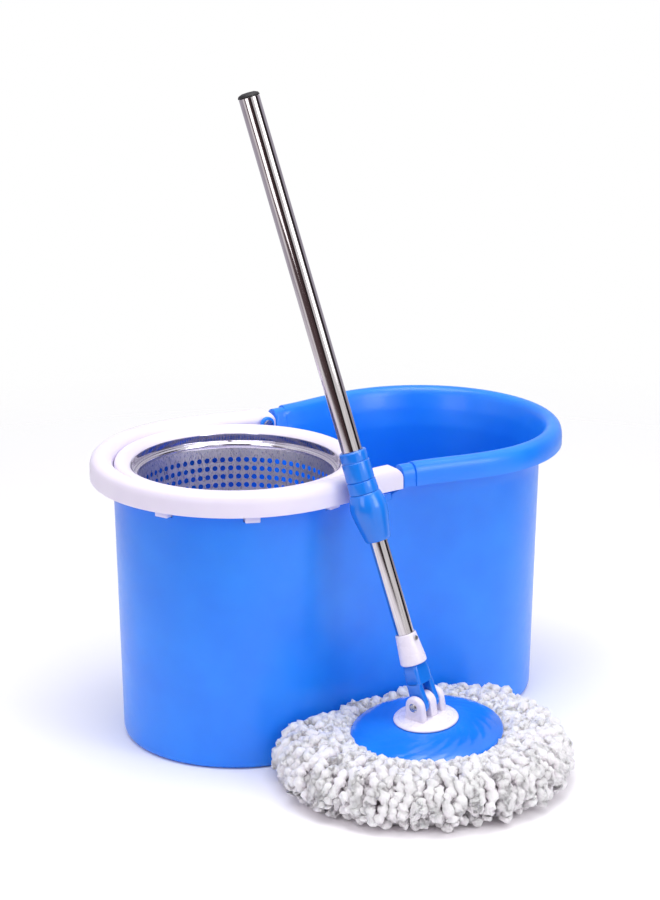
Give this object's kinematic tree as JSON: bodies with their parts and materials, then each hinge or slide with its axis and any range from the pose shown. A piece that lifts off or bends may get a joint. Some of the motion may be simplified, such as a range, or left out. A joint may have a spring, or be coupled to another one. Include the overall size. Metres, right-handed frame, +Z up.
{
  "type": "spin mop with bucket",
  "caption": "Spin mop set: oval bucket with a spinning steel wringer basket and swing handle, and a hand-press mop with a round strand head leaning on the rim.",
  "frame": {"origin": "centre of the bucket's flat underside, on the floor", "axes": "+Z up; +X along the bucket from the wringer basket to the plain basin; -Y towards the side where the mop stands"},
  "size_m": [0.515, 0.4966, 0.6577],
  "materials": {
    "blue_polypropylene": "glossy injection moulded",
    "blue_abs": "glossy injection moulded",
    "white_polypropylene": "satin injection moulded",
    "white_abs": "satin injection moulded",
    "stainless_steel": "plain drawn or turned",
    "perforated_steel": "polished pressed sheet with punched holes",
    "polished_steel": "polished drawn tube",
    "black_polypropylene": "moulded, matt",
    "natural_acetal": "moulded, natural",
    "microfibre_strands": "twisted fluffy strands"
  },
  "bodies": {
    "bucket": {"bucket_body": "blue_polypropylene", "spindle_pin": "stainless_steel", "basket_ring": "white_polypropylene", "handle_pin_front": "stainless_steel", "handle_pin_back": "stainless_steel"},
    "handle": {"carry_handle": "white_polypropylene"},
    "basket": {"basket_shell": "perforated_steel", "basket_base": "white_polypropylene", "basket_bush": "natural_acetal", "basket_rivet_1": "stainless_steel", "basket_rivet_2": "stainless_steel", "basket_rivet_3": "stainless_steel", "basket_rivet_4": "stainless_steel"},
    "mop_head": {"mop_plate": "blue_abs", "hub_base": "white_abs", "hub_pin": "stainless_steel", "hub_screw_1": "stainless_steel", "hub_screw_2": "stainless_steel", "hub_screw_3": "stainless_steel", "refill_ring": "white_polypropylene", "mop_strands": "microfibre_strands"},
    "lower_pole": {"fork": "blue_abs", "connector": "white_abs", "connector_screw": "stainless_steel", "lower_tube": "polished_steel", "clutch_sleeve": "natural_acetal"},
    "guide": {"guide_bush": "natural_acetal", "bush_cap": "natural_acetal"},
    "nut": {"drive_nut": "natural_acetal"},
    "upper_pole": {"upper_tube": "polished_steel", "twist_rod": "stainless_steel", "rod_anchor": "natural_acetal", "end_cap": "black_polypropylene", "collar_sleeve": "blue_abs", "lock_wedge": "natural_acetal"},
    "lock": {"lock_barrel": "blue_abs"}
  },
  "joints": [
    {"name": "handle_swing", "type": "hinge", "parent": "bucket", "child": "handle", "pos_m": [-0.013, 0, 0.279], "axis": [0, 1, 0], "range_deg": [0, 95]},
    {"name": "basket_spin", "type": "hinge", "parent": "bucket", "child": "basket", "pos_m": [-0.1125, 0, 0.15], "axis": [0, 0, 1], "continuous": true},
    {"name": "mop_away", "type": "slide", "parent": "bucket", "child": "mop_head", "axis": [0, -1, 0], "range_m": [0, 0.37]},
    {"name": "head_tilt", "type": "hinge", "parent": "mop_head", "child": "lower_pole", "pos_m": [-0.027, -0.212, 0.08], "axis": [0.9474, 0.3078, 0.0872], "range_deg": [0, 95]},
    {"name": "pole_swivel", "type": "hinge", "parent": "lower_pole", "child": "guide", "pos_m": [-0.09256, -0.11448, 0.44821], "axis": [-0.1696, 0.2523, 0.9527], "continuous": true},
    {"name": "pole_press", "type": "slide", "parent": "guide", "child": "upper_pole", "axis": [-0.1696, 0.2523, 0.9527], "range_m": [-0.09, 0.12]},
    {"name": "nut_turn", "type": "hinge", "parent": "guide", "child": "nut", "pos_m": [-0.09308, -0.1137, 0.45116], "axis": [-0.1696, 0.2523, 0.9527], "range_deg": [-730, 550]},
    {"name": "lock_turn", "type": "hinge", "parent": "upper_pole", "child": "lock", "pos_m": [-0.05923, -0.16406, 0.26101], "axis": [-0.1696, 0.2523, 0.9527], "range_deg": [0, 90]}
  ],
  "couplings": [
    {"joint": "mop_away", "follows": "handle_swing", "m_per_rad": 0.22},
    {"joint": "nut_turn", "follows": "pole_press", "rad_per_m": -104.72}
  ]
}
